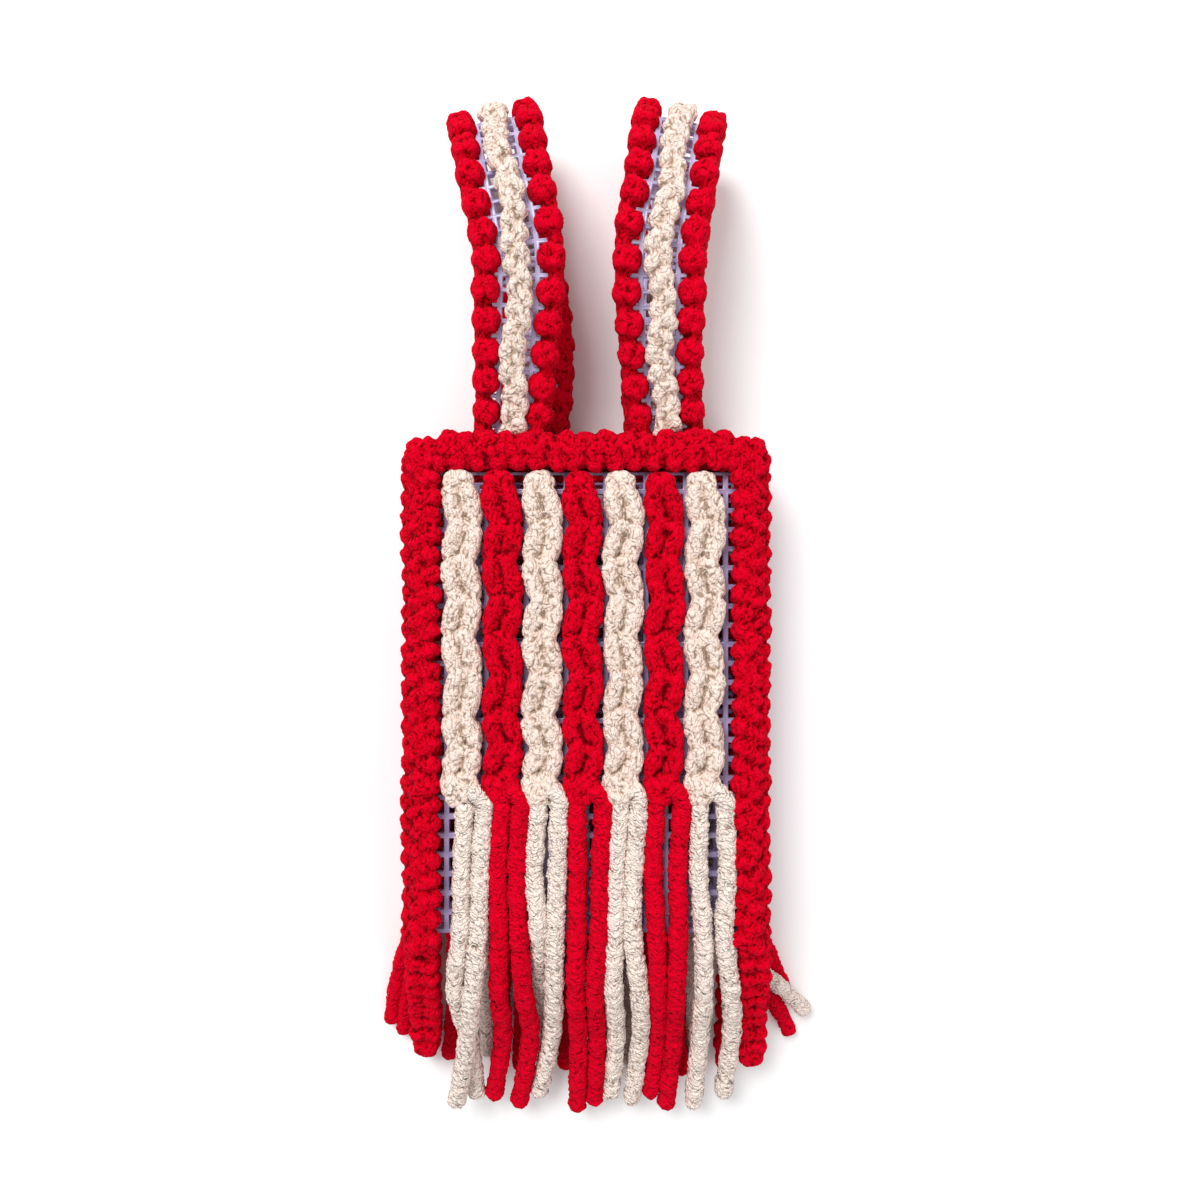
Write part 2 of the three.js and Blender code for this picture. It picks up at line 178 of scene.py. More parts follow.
# Tufts of pile on a loose strand: how many to 10 mm of its length, how many to the radius of its
# round, and how far the middle of a row runs ahead of its sides.
TUFTS = {"along": 11.5, "round": 2.3, "chevron": 1.8}
STRAND_OFFSET = (160, 130, 190)     # moves the pattern on, so that no two strands are alike
LUMP_TUFTS = (980, 760, 860)        # tufts to a metre in yarn that is worked into lumps


def around_strand(tree):
    """Coordinates that close up round a strand, one unit to a tuft of pile. The piece's UV map runs
    once round the strand in u, and one unit to 10 mm along it in v. The tufts stand in chevrons."""
    uv = node(tree, "ShaderNodeSeparateXYZ", {0: node(tree, "ShaderNodeUVMap").outputs[0]})
    turn = maths(tree, "MULTIPLY", uv.outputs[0], 2 * math.pi)
    cosine, sine = maths(tree, "COSINE", turn), maths(tree, "SINE", turn)
    chevron = maths(tree, "MULTIPLY", maths(tree, "ABSOLUTE", cosine), TUFTS["chevron"])
    ring = node(tree, "ShaderNodeCombineXYZ", {
        0: maths(tree, "MULTIPLY", cosine, TUFTS["round"]),
        1: maths(tree, "MULTIPLY", sine, TUFTS["round"]),
        2: maths(tree, "ADD", maths(tree, "MULTIPLY", uv.outputs[1], TUFTS["along"]), chevron)})
    place = node(tree, "ShaderNodeTexCoord").outputs["Object"]
    offset = node(tree, "ShaderNodeVectorMath", {0: place, 1: STRAND_OFFSET}, operation="MULTIPLY")
    moved = node(tree, "ShaderNodeVectorMath", {0: ring.outputs[0], 1: offset.outputs[0]})
    return swirl(tree, place, moved.outputs[0], 620, 1.7)


def through_lumps(tree):
    """Coordinates for yarn worked into lumps, one unit to a tuft of pile."""
    place = node(tree, "ShaderNodeTexCoord").outputs["Object"]
    tufts = node(tree, "ShaderNodeVectorMath", {0: place, 1: LUMP_TUFTS}, operation="MULTIPLY")
    return swirl(tree, place, tufts.outputs[0], 300, 3.4)


def swirl(tree, place, coordinates, scale, amount):
    """Coordinates led astray by a soft noise."""
    wander = node(tree, "ShaderNodeTexNoise", {"Vector": place, "Scale": scale, "Detail": 1})
    wander = node(tree, "ShaderNodeVectorMath", {
        0: wander.outputs["Color"], 1: (amount, amount, amount)}, operation="MULTIPLY")
    return node(tree, "ShaderNodeVectorMath", {0: coordinates, 1: wander.outputs[0]}).outputs[0]


# How much each part of the pattern counts in the yarn's colour, and where the sum starts. The
# tufts, the fine pile and the folds paint shade where the pile sinks and between tufts, and light
# where it stands high; the hollows paint shade into creases; tone is each tuft's own random colour.
TONE_AND_PAINTED_SHADE = {"plump": 0.6, "fine": 0.3, "folds": 0.3, "tone": 0.1, "hollow_shade": -0.75, "start": -0.3}
FOLD_BUMP = 0.9


def chenille(name, coordinates, stops, sheen, sheen_tint, pile_bump):
    """Thick velvety yarn: short pile in plump tufts, with painted shade where they meet and in
    every hollow, and painted light on their tops.
    """
    material, tree, shader = new_material(name)
    place = node(tree, "ShaderNodeTexCoord").outputs["Object"]
    tuft = node(tree, "ShaderNodeTexVoronoi", {"Vector": coordinates(tree), "Scale": 1.0})
    near = tuft.outputs["Distance"]
    square = maths(tree, "MULTIPLY", near, near)
    plump = maths(tree, "SUBTRACT", 1.0, maths(tree, "MULTIPLY", square, 1.5))
    tone = node(tree, "ShaderNodeSeparateColor", {0: tuft.outputs["Color"]}).outputs[0]
    fine = node(tree, "ShaderNodeTexNoise", {
        "Vector": place, "Scale": 1900, "Detail": 2, "Roughness": 0.6}).outputs["Fac"]
    folds = node(tree, "ShaderNodeTexNoise", {
        "Vector": place, "Scale": 300, "Detail": 1, "Roughness": 0.5,
        "Distortion": 0.8}).outputs["Fac"]
    hollow_shade = node(tree, "ShaderNodeAttribute", attribute_name="hollow_shade").outputs["Fac"]
    # Painted shade and painted light from the pile's heights, on top of each tuft's own random
    # tone.
    tone_and_painted_shade = maths(tree, "MULTIPLY", plump, TONE_AND_PAINTED_SHADE["plump"])
    for part, word in ((fine, "fine"), (folds, "folds"), (tone, "tone"), (hollow_shade, "hollow_shade")):
        tone_and_painted_shade = maths(tree, "ADD", tone_and_painted_shade, maths(tree, "MULTIPLY", part, TONE_AND_PAINTED_SHADE[word]))
    tone_and_painted_shade = maths(tree, "ADD", tone_and_painted_shade, TONE_AND_PAINTED_SHADE["start"])
    tree.links.new(colour_ramp(tree, tone_and_painted_shade, stops), shader.inputs["Base Color"])
    height = maths(tree, "ADD", plump, maths(tree, "MULTIPLY", fine, 0.3))
    fold = node(tree, "ShaderNodeBump", {
        "Height": folds, "Strength": 1.0, "Distance": FOLD_BUMP * MM})
    pile = node(tree, "ShaderNodeBump", {
        "Height": height, "Strength": 1.0, "Distance": pile_bump * MM, "Normal": fold.outputs[0]})
    tree.links.new(pile.outputs[0], shader.inputs["Normal"])
    shader.inputs["Roughness"].default_value = 0.95
    shader.inputs["Specular IOR Level"].default_value = 0.04
    shader.inputs["Sheen Weight"].default_value = sheen
    shader.inputs["Sheen Roughness"].default_value = 0.4
    shader.inputs["Sheen Tint"].default_value = (*sheen_tint, 1)
    return material


def moulded_canvas(name, stops):
    """Slightly cloudy lavender plastic with the faint lines that a mould leaves."""
    material, tree, shader = new_material(name)
    place = node(tree, "ShaderNodeTexCoord").outputs["Object"]
    cloud = node(tree, "ShaderNodeTexNoise", {"Vector": place, "Scale": 160, "Detail": 2})
    tree.links.new(colour_ramp(tree, cloud.outputs["Fac"], stops), shader.inputs["Base Color"])
    ripple = node(tree, "ShaderNodeTexNoise", {"Vector": place, "Scale": 900, "Detail": 1})
    bump = node(tree, "ShaderNodeBump", {
        "Height": ripple.outputs["Fac"], "Strength": 0.4, "Distance": 0.1 * MM})
    tree.links.new(bump.outputs[0], shader.inputs["Normal"])
    shader.inputs["Roughness"].default_value = 0.32
    shader.inputs["Specular IOR Level"].default_value = 0.5
    shader.inputs["Coat Weight"].default_value = 0.25
    shader.inputs["Coat Roughness"].default_value = 0.2
    return material


def floor_material():
    """A pale plain floor."""
    material, tree, shader = new_material("pale_floor")
    place = node(tree, "ShaderNodeTexCoord").outputs["Object"]
    grain = node(tree, "ShaderNodeTexNoise", {"Vector": place, "Scale": 8})
    stops = [(0.3, (0.93, 0.93, 0.93)), (0.7, (0.95, 0.95, 0.95))]
    tree.links.new(colour_ramp(tree, grain.outputs["Fac"], stops), shader.inputs["Base Color"])
    shader.inputs["Roughness"].default_value = 0.9
    return material


# ---- making and finishing pieces ----

def select_only(*objects):
    if bpy.context.object and bpy.context.object.mode != "OBJECT":
        bpy.ops.object.mode_set(mode="OBJECT")
    bpy.ops.object.select_all(action="DESELECT")
    for obj in objects:
        obj.select_set(True)
    bpy.context.view_layer.objects.active = objects[0] if objects else None


def apply_all(obj):
    """Applies the modifiers of a piece in order."""
    select_only(obj)
    for modifier in list(obj.modifiers):
        bpy.ops.object.modifier_apply(modifier=modifier.name)


def set_down(shape, place, along, out, size):
    """A copy of a shape with its own mesh: its length (X) lies along, its top (Z) faces out."""
    forward = along.normalized()
    side = out.cross(forward).normalized()
    up = forward.cross(side)
    turn = Matrix((forward, side, up)).transposed().to_4x4()
    matrix = Matrix.Translation(place) @ turn @ Matrix.Diagonal((*size, 1))
    mesh = shape.data.copy()
    mesh.transform(matrix)
    if matrix.determinant() < 0:
        mesh.flip_normals()
    copy = bpy.data.objects.new(shape.name, mesh)
    bpy.context.scene.collection.objects.link(copy)
    return copy


def join(name, parts):
    """Several objects made one, under a new name."""
    select_only(*parts)
    bpy.ops.object.join()
    piece = bpy.context.object
    piece.name = name
    piece.data.name = name
    return piece


def texture(name, kind, size, **settings):
    """A pattern for displacement, size in millimetres."""
    made = bpy.data.textures.new(name, kind)
    made.noise_scale = size * MM
    for key, value in settings.items():
        setattr(made, key, value)
    return made


FOLDS = texture("folds", "VORONOI", 2.5, distance_metric="DISTANCE_SQUARED", noise_intensity=1.2)
FOLD_MIDDLE = 0.22    # the folds mostly cut in, and push out only a little
PILE = texture("pile", "CLOUDS", 0.75, noise_type="SOFT_NOISE", noise_depth=1)


def ruffle(piece, pattern, strength, middle=0.5):
    """Pushes the surface in and out by a pattern, strength in millimetres."""
    wave = piece.modifiers.new("ruffle", "DISPLACE")
    wave.texture = pattern
    wave.texture_coords = "LOCAL"
    wave.strength = strength * MM
    wave.mid_level = middle


def finish_yarn(piece, material, nodes, skin=0, folds=0.8, pile=0.45, creases=()):
    """Draws worked lumps together under one skin with faces of that size, gives the yarn its folds
    and pile, and fits it in place of its solids. A strand has a skin already, so its skin is 0."""
    if skin:
        rounded = piece.modifiers.new("rounded", "SUBSURF")
        rounded.levels = rounded.render_levels = 1
        one = piece.modifiers.new("one_skin", "REMESH")
        one.mode = "VOXEL"
        one.voxel_size = skin * MM
    ruffle(piece, FOLDS, -folds, FOLD_MIDDLE)
    ruffle(piece, PILE, pile)
    apply_all(piece)
    press_creases(piece, creases)
    # Each point's depth, from which the yarn's colour takes painted shade in its hollows.
    mark_hollow_shade(piece)
    bpy.ops.object.shade_smooth()
    piece.data.materials.clear()
    piece.data.materials.append(material)
    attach(piece, "root")
    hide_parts(*nodes)


def press_creases(piece, creases, depth=1.2, width=0.6):
    """Presses the yarn in along short thin creases, each a pair of places, on the side that faces
    away from the canvas."""
    if not creases:
        return
    mesh = piece.data
    place = np.empty(len(mesh.vertices) * 3, np.float32)
    mesh.vertices.foreach_get("co", place)
    place = place.reshape(-1, 3)
    for start, end in creases:
        start, end = np.array(spot(*start)), np.array(spot(*end))
        run = (end - start)[:2]
        offset = place[:, :2] - start[:2]
        share = np.clip(offset @ run / (run @ run), 0, 1)
        gap = np.linalg.norm(offset - share[:, None] * run, axis=1) / (width * MM)
        outward = np.sign(start[2] - HOME.z - (FRONT_Z + BACK_Z) / 2 * MM)
        outside = (place[:, 2] - start[2]) * outward > 0
        place[:, 2] -= outward * outside * depth * MM * np.exp(-gap * gap)
    mesh.vertices.foreach_set("co", place.ravel())


EVENING_ROUNDS = 5    # how often each point is moved to the middle of its neighbours


def mark_hollow_shade(piece):
    """Marks how deep in millimetres each point lies below the surface round it. The yarn's colour
    reads this to paint shade into hollows and creases, and painted light onto what stands out."""
    mesh = piece.data
    count = len(mesh.vertices)
    place, normal = np.empty(count * 3, np.float32), np.empty(count * 3, np.float32)
    mesh.vertices.foreach_get("co", place)
    mesh.vertices.foreach_get("normal", normal)
    place, normal = place.reshape(-1, 3).astype(float), normal.reshape(-1, 3)
    ends = np.empty(len(mesh.edges) * 2, np.int32)
    mesh.edges.foreach_get("vertices", ends)
    first, second = ends.reshape(-1, 2).T
    links = np.bincount(first, minlength=count) + np.bincount(second, minlength=count)

    def middle_of_neighbours(values):
        total = np.bincount(first, values[second], count)
        total += np.bincount(second, values[first], count)
        return total / links

    even = place
    for _ in range(EVENING_ROUNDS):
        even = np.stack([middle_of_neighbours(even[:, axis]) for axis in range(3)], axis=1)
    depth = ((even - place) * normal).sum(axis=1) / MM
    # Deep points get painted shade in the yarn's colour, and raised points get painted light.
    mark = mesh.attributes.new("hollow_shade", "FLOAT", "POINT")
    mark.data.foreach_set("value", depth.astype(np.float32))


# ---- shapes that repeat ----

def ball(name, segments, rings, fullness):
    """A plump ball 1 mm across, its poles at the ends of its length, ready to be stretched."""
    select_only()
    bpy.ops.mesh.primitive_uv_sphere_add(segments=segments, ring_count=rings, radius=0.5 * MM)
    shape = bpy.context.object
    shape.name = name
    bpy.ops.object.mode_set(mode="EDIT")
    bpy.ops.mesh.select_all(action="SELECT")
    bpy.ops.transform.rotate(value=math.pi / 2, orient_axis="Y", center_override=(0, 0, 0))
    bpy.ops.object.mode_set(mode="OBJECT")
    plump = shape.modifiers.new("plump", "CAST")
    plump.cast_type = "CUBOID"
    plump.factor = fullness
    apply_all(shape)
    return shape


def pinch(shape, amount):
    """Draws the waist of a shape in, as a fold of yarn is where it bends."""
    select_only(shape)
    for part in (shape.data.vertices, shape.data.edges, shape.data.polygons):
        part.foreach_set("select", [False] * len(part))
    for vertex in shape.data.vertices:
        vertex.select = abs(vertex.co.x) < 0.1 * MM
    bpy.ops.object.mode_set(mode="EDIT")
    bpy.ops.transform.resize(value=(1, amount, amount), center_override=(0, 0, 0))
    bpy.ops.object.mode_set(mode="OBJECT")
    return shape


def bow(shape, amount):
    """Bows a shape sideways, as one leg of a chain stitch is."""
    for vertex in shape.data.vertices:
        share = vertex.co.x / (0.5 * MM)
        vertex.co.y += amount * MM * (1 - share * share)
    return shape


PUFF = pinch(ball("puff", 10, 8, 0.22), 0.92)
SMALL = ball("small", 8, 6, 0.2)
LEAF = bow(ball("leaf", 10, 8, 0.5), 0.13)
UP = Vector((0, 0, 1))
ACROSS = Vector((1, 0, 0))


def remove_shapes():
    for shape in (PUFF, SMALL, LEAF):
        bpy.data.objects.remove(shape)


# ---- strands of yarn ----
SUBSTEPS = 24         # straight pieces that stand for the curve between two rows
ROUND_END = 0.42      # how long the rounded end of a strand is, as a share of its width
TUFT = 0.32           # how far single tufts stand out or in


def smooth_path(rows, step):
    """Points step millimetres apart on a smooth line through rows of [x, y, z]."""
    points = [Vector(row) for row in rows]
    points = [2 * points[0] - points[1], *points, 2 * points[-1] - points[-2]]
    line = []
    for i in range(1, len(points) - 2):
        a, b, c, d = points[i - 1:i + 3]
        for k in range(SUBSTEPS):
            t = k / SUBSTEPS
            line.append(0.5 * ((2 * b) + (c - a) * t + (2 * a - 5 * b + 4 * c - d) * t * t
                               + (3 * b - a - 3 * c + d) * t * t * t))
    line.append(points[-2])
    lengths = [0.0]
    for first, second in zip(line, line[1:]):
        lengths.append(lengths[-1] + (second - first).length)
    count = max(2, round(lengths[-1] / step))
    spaced, i = [], 0
    for k in range(count + 1):
        goal = lengths[-1] * k / count
        while i < len(line) - 2 and lengths[i + 1] < goal:
            i += 1
        share = (goal - lengths[i]) / max(1e-9, lengths[i + 1] - lengths[i])
        spaced.append(line[i].lerp(line[i + 1], min(1, max(0, share))))
    return spaced


def strand(name, rows, width=STRAND, height=None, step=0.5, sides=16):
    """A strand of yarn with rounded ends, its pile in short uneven tufts."""
    height = height or width
    path = smooth_path(rows, step)
    count = len(path)
    across = ACROSS
    verts, faces, marks = [], [], []
    phase = dice.uniform(0, 6)
    for i, centre in enumerate(path):
        tangent = (path[min(i + 1, count - 1)] - path[max(i - 1, 0)]).normalized()
        across = (across - tangent * across.dot(tangent)).normalized()
        out = across.cross(tangent)
        if out.z < 0 and abs(tangent.z) < 0.9:
            out, across = -out, -across
        run = i * step
        near_end = min(run, (count - 1) * step - run)
        close = math.sqrt(max(0.03, 1 - max(0, 1 - near_end / (width * ROUND_END)) ** 2))
        swell = 1 + 0.05 * math.sin(run * 0.5 + phase) + 0.03 * math.sin(run * 1.3 + phase)
        for k in range(sides):
            angle = 2 * math.pi * k / sides
            tuft = jitter(TUFT)
            u = math.cos(angle) * (width / 2 * swell + tuft) * close
            v = math.sin(angle) * (height / 2 * swell + tuft) * close
            verts.append(spot(*(centre + across * u + out * v)))
        marks.append(run / 10)
    for i in range(count - 1):
        for k in range(sides):
            here, there = i * sides + k, i * sides + (k + 1) % sides
            faces.append((here, there, there + sides, here + sides))
    faces.append(tuple(range(sides - 1, -1, -1)))
    faces.append(tuple((count - 1) * sides + k for k in range(sides)))
    mesh = bpy.data.meshes.new(name)
    mesh.from_pydata(verts, [], faces)
    layer = mesh.uv_layers.new(name="UVMap")
    for face in mesh.polygons:
        for corner in face.loop_indices:
            vertex = mesh.loops[corner].vertex_index
            ring, k = divmod(vertex, sides)
            turn = k / sides
            closes_ring = sides - 1 in [v % sides for v in face.vertices]
            if len(face.vertices) == 4 and k == 0 and closes_ring:
                turn = 1.0
            layer.data[corner].uv = (turn, marks[ring])
    obj = bpy.data.objects.new(name, mesh)
    bpy.context.scene.collection.objects.link(obj)
    select_only(obj)
    bpy.ops.object.mode_set(mode="EDIT")
    bpy.ops.mesh.select_all(action="SELECT")
    bpy.ops.mesh.normals_make_consistent(inside=False)
    bpy.ops.object.mode_set(mode="OBJECT")
    return obj


# ---- canvas ----

def canvas_grid(columns, rows):
    """A flat sheet of canvas, its lower left corner at the origin: a grid whose cells are inset and
    opened, with a groove along the middle of every bar."""
    select_only()
    bpy.ops.mesh.primitive_grid_add(x_subdivisions=columns, y_subdivisions=rows, size=1)
    sheet = bpy.context.object
    for vertex in sheet.data.vertices:
        vertex.co.x = round((vertex.co.x + 0.5) * columns) * CELL * MM
        vertex.co.y = round((vertex.co.y + 0.5) * rows) * ROW * MM
    corners = len(sheet.data.vertices)
    bpy.ops.object.mode_set(mode="EDIT")
    bpy.ops.mesh.select_all(action="SELECT")
    bpy.ops.mesh.inset(thickness=BAR / 2 * MM, depth=0, use_individual=True, use_boundary=True)
    bpy.ops.mesh.delete(type="FACE")
    bpy.ops.object.mode_set(mode="OBJECT")
    for vertex in sheet.data.vertices[:corners]:
        vertex.co.z -= GROOVE * MM
    return sheet


def finish_canvas(sheet, name, nodes, material):
    """Gives a sheet of canvas its thickness and soft edges, and fits it in place of its solid."""
    thick = sheet.modifiers.new("thickness", "SOLIDIFY")
    thick.thickness = SHEET * MM
    thick.offset = 0
    soft = sheet.modifiers.new("soft_edges", "BEVEL")
    soft.width = 0.22 * MM
    soft.segments = 1
    soft.limit_method = "ANGLE"
    soft.angle_limit = math.radians(50)
    apply_all(sheet)
    bpy.ops.object.shade_smooth_by_angle(angle=math.radians(40))
    sheet.name = sheet.data.name = name
    sheet.data.materials.clear()
    sheet.data.materials.append(material)
    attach(sheet, "root")
    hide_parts(*nodes)


CANVAS_FOOT = CANVAS_TOP - ROWS * ROW
CORNER = 2.2          # how far up its sides the base of the canvas is rounded
BULGE = 0.3           # how far the base stands out, as a share of that


def make_body_canvas():
    """One sheet, folded: down the front, under the foot and up the back."""
    rows = 2 * ROWS + SIDE_CELLS
    sheet = canvas_grid(COLUMNS, rows)
    base = SIDE_CELLS * ROW
    depth = FRONT_Z - BACK_Z
    for vertex in sheet.data.vertices:
        x, run, lift = vertex.co / MM
        across = x - COLUMNS * CELL / 2
        below = run - ROWS * ROW
        if below <= 0:
            place = (across, CANVAS_FOOT - below, FRONT_Z + lift)
        elif below >= base:
            place = (across, CANVAS_FOOT + below - base, BACK_Z - lift)
        else:
            share = below / base
            ease = min(share, 1 - share) * base
            inward = CORNER * max(0, 1 - ease / CORNER) ** 2
            y = CANVAS_FOOT + lift - CORNER * BULGE + inward * BULGE
            place = (across, y, FRONT_Z - share * depth)
        vertex.co = spot(*place)
    finish_canvas(sheet, "body_canvas_sheet", ["body_canvas"], LAVENDER)


def make_gusset(side, name):
    """The strip between the front and the back, at one side."""
    sheet = canvas_grid(SIDE_CELLS, ROWS)
    depth = FRONT_Z - BACK_Z
    for vertex in sheet.data.vertices:
        z, y, lift = vertex.co / MM
        z = BACK_Z + z / (SIDE_CELLS * CELL) * depth
        vertex.co = spot(side * (GUSSET_X - 1 + lift), y + CANVAS_TOP - ROWS * ROW, z)
    finish_canvas(sheet, f"gusset_{name}_sheet", [f"gusset_{name}"],
                  LAVENDER)


# ---- borders and bindings ----
SIDES = [("left", -1), ("right", 1)]
BORDER_TOP = 151.2
BORDER_PITCH = 6.25
BORDER_CELLS = range(-1, 25)
RIM_PITCH = 6.45
RIM_CELLS = 18

# The thick chain that hangs free below each border: the middle line of its way down to the surface.
CHAIN_PITCH = 5.9
BACK_CHAIN_WIDTH = 0.85     # beside a front one
CHAINS = {
    "front_left": [(-54.6, -1, 34), (-54.6, -12, 31.6), (-55.8, -31, 19.5), (-56.8, -48, 13)],
    "front_right": [(55.2, -1, 34), (56, -12, 31.6), (57, -31, 19.5), (57.8, -49.5, 13)],
    "back_left": [(-56.6, -1, 4.6), (-57.8, -12, 3.9), (-58, -34, 3.8), (-57.6, -51, 3.8)],
    "back_right": [(53.4, -1, 4.6), (52.6, -12, 3.9), (51.4, -34, 3.8), (50.4, -56, 3.8)],
}
# Loose ends of the seam yarn, which lie on the surface beside the back borders.
SEAM_ENDS = {
    "back_left": [[(-54, 4, 4.4), (-64, -9, 3.4), (-69.4, -27, 3), (-71.6, -43, 3)],
                  [(-54, -6, 4.4), (-62.5, -17, 3.4), (-65.6, -31, 3), (-67.2, -47, 3)],
                  [(-51, 2, 4.4), (-48.9, -9, 3), (-48.4, -32, 3), (-50.6, -56, 3)]],
    "back_right": [[(54, 2, 4.4), (63.6, -12, 3), (68.8, -23, 2.9), (72.6, -33.5, 2.9)],
                   [(54, -23, 4.4), (62.5, -28.5, 3.4), (69, -36.5, 3), (74.6, -47, 3)]],
}


def on_face(front):
    """For the front or the back: the height of what is worked on it, the way out, and how flat
    the yarn is there."""
    if front:
        return (lambda z: z), UP, 1
    return back_height, -UP, BACK_FLATTEN


def make_border(front, side):
    """Per cell: a slanted fold at the inner edge, a middle bead, a bead at the outer edge, and
    filling under them."""
    height, out, flat = on_face(front)
    parts = []
    for i in BORDER_CELLS:
        y = BORDER_TOP - i * BORDER_PITCH
        slant = Vector((1, side * -0.25 + jitter(0.3), jitter(0.15)))
        place = spot(side * (51.7 + jitter(0.3)), y + jitter(0.4), height(36.9 + jitter(0.5)))
        parts.append(set_down(PUFF, place, slant, out,
                              (9.4 + jitter(0.6), 7.2 + jitter(0.4), 8 * flat)))
        place = spot(side * (55 + jitter(0.6)), y - 2.8 + jitter(0.6), height(37.2 + jitter(0.4)))
        parts.append(set_down(SMALL, place, Vector((1, jitter(0.9), 0)), out,
                              (7 + jitter(0.8), 6 + jitter(0.5), 6.6 * flat)))
        place = spot(side * (58 + jitter(0.3)), y + 0.2 + jitter(0.4), height(32.8))
        parts.append(set_down(PUFF, place, Vector((0.3 * side, 1, 0)), out, (7, 7.4, 9 * flat)))
        place = spot(side * 54.8, y - 1, height(30.8))
        parts.append(set_down(SMALL, place, Vector((1, 0.3, 0)), out, (9.4, 6.2, 6.6 * flat)))
    return parts


def make_hanging_chain(rows, wide=1):
    """A crocheted chain of thick loops along rows of [x, y, z]: each stitch is two fat legs side by
    side, and the last one is drawn in to a round tip."""
    step, out = 0.5, UP
    path = smooth_path(rows, step)
    count = int((len(path) - 1) * step / CHAIN_PITCH)
    parts = []
    for i in range(count + 1):
        index = min(len(path) - 2, int(i * CHAIN_PITCH / step) + 4)
        centre, ahead = path[index], path[index + 1]
        along = (ahead - centre).normalized()
        side = out.cross(along).normalized()
        last = i >= count
        for leg in (-1, 1):
            place = (centre + side * leg * (1.8 if last else 2.5) * wide + out * jitter(0.3)
                     + along * jitter(0.4))
            turn = side * leg + along * (0.35 + jitter(0.2))
            size = (6, 7.4, 6.4) if last else (6.9 + jitter(0.3), 7 + jitter(0.3), 7.4)
            size = (size[0] * wide, size[1], size[2] * wide)
            parts.append(set_down(PUFF, spot(*place), turn, out, size))
        size = (7, 6 * wide, 6 * wide)
        parts.append(set_down(SMALL, spot(*(centre - out * 0.6)), along, out, size))
        if last:
            size = (7.6 * wide, 5.6, 6 * wide)
            parts.append(set_down(PUFF, spot(*(centre + along * 2)), side, out, size))
    return parts


def corner_fall(x):
    """How far the top of the binding has come down at x, towards its rounded corners."""
    return 0.03 * max(0, abs(x) - 44) ** 2


def make_rim(front):
    """The binding of the mouth: per cell a lower oval, two small beads, an upper fold and a filling
    under them, and a few beads round each corner."""
    height, out, flat = on_face(front)
    parts = []
    for i in range(RIM_CELLS):
        x = (i - (RIM_CELLS - 1) / 2) * RIM_PITCH
        fall = corner_fall(x)
        place = spot(x + jitter(0.4), 157.6 + jitter(0.4), height(37 + jitter(0.3)))
        parts.append(set_down(PUFF, place, Vector((jitter(0.4), 1, 0)), out,
                              (8.6 + jitter(0.4), 7 + jitter(0.4), 7.6 * flat)))
        for dx in (-1.3, 1.3):
            y = 160.8 + dx * 0.5 - fall * 0.4
            place = spot(x + dx * 1.2 + jitter(0.4), y + jitter(0.5), height(38.2))
            parts.append(set_down(SMALL, place, Vector((jitter(1), 1, 0)), out,
                                  (5.6, 4.6 + jitter(0.4), 6 * flat)))
        if i < RIM_CELLS - 1:
            upper = x + 3.2
            place = spot(upper + jitter(0.4), 163.6 + jitter(0.5) - corner_fall(upper),
                         height(36.4 + jitter(0.5)))
            parts.append(set_down(PUFF, place, Vector((1, jitter(0.5), jitter(0.2))), out,
                                  (7.2 + jitter(0.4), 8.6 + jitter(0.5), 8 * flat)))
        place = spot(x + jitter(0.3), 162.2 - fall, height(31.6))
        parts.append(set_down(SMALL, place, Vector((1, jitter(0.3), 0)), out,
                              (7, 10.2, 7.4 * flat)))
    corner = ((58, 155.8, 34.2, 6.6), (57.4, 159.8, 34.2, 6), (54.4, 158.4, 37.4, 6.4))
    for side in (-1, 1):
        for x, y, z, size in corner:
            parts.append(set_down(SMALL, spot(side * x, y, height(z)), Vector((jitter(1), 1, 0)),
                                  out, (size, size * 0.95, size)))
    return parts


def make_rim_side(side):
    """The binding over a side strip, between the front and the back of the mouth."""
    parts = []
    for i in range(SIDE_CELLS):
        z = 12.6 + i * 4.9
        parts.append(set_down(SMALL, spot(side * 57.4, 157.8 + jitter(0.3), z),
                              Vector((0, 1, jitter(0.3))), ACROSS * side, (9, 6.8, 7.4)))
        parts.append(set_down(SMALL, spot(side * 56.8, 162.6 + jitter(0.3), z + 2.2),
                              Vector((0, jitter(0.3), 1)), ACROSS * side, (7, 8.6, 8)))
    return parts


# ---- stripes ----
# Where a stripe turns back, and its top and its foot with how far they are from its middle.
STRIPE_BENDS = [148.4, 136.8, 124.8, 112.6, 99.8, 88, 74.4, 63.6, 54.8]
STRIPE_ENDS = [(-0.6, 151.8), (0.4, 47.5)]
SWAY = 1.6            # how far a stripe leans left and right of its middle
SHORTEST_LINK = 6     # anything shorter is one fold and not a link


def stripe_x(index):
    """The middle of a stripe, across the bag."""
    return (index - (STRIPES - 1) / 2) * STRIPE_PITCH + STRIPE_SHIFT


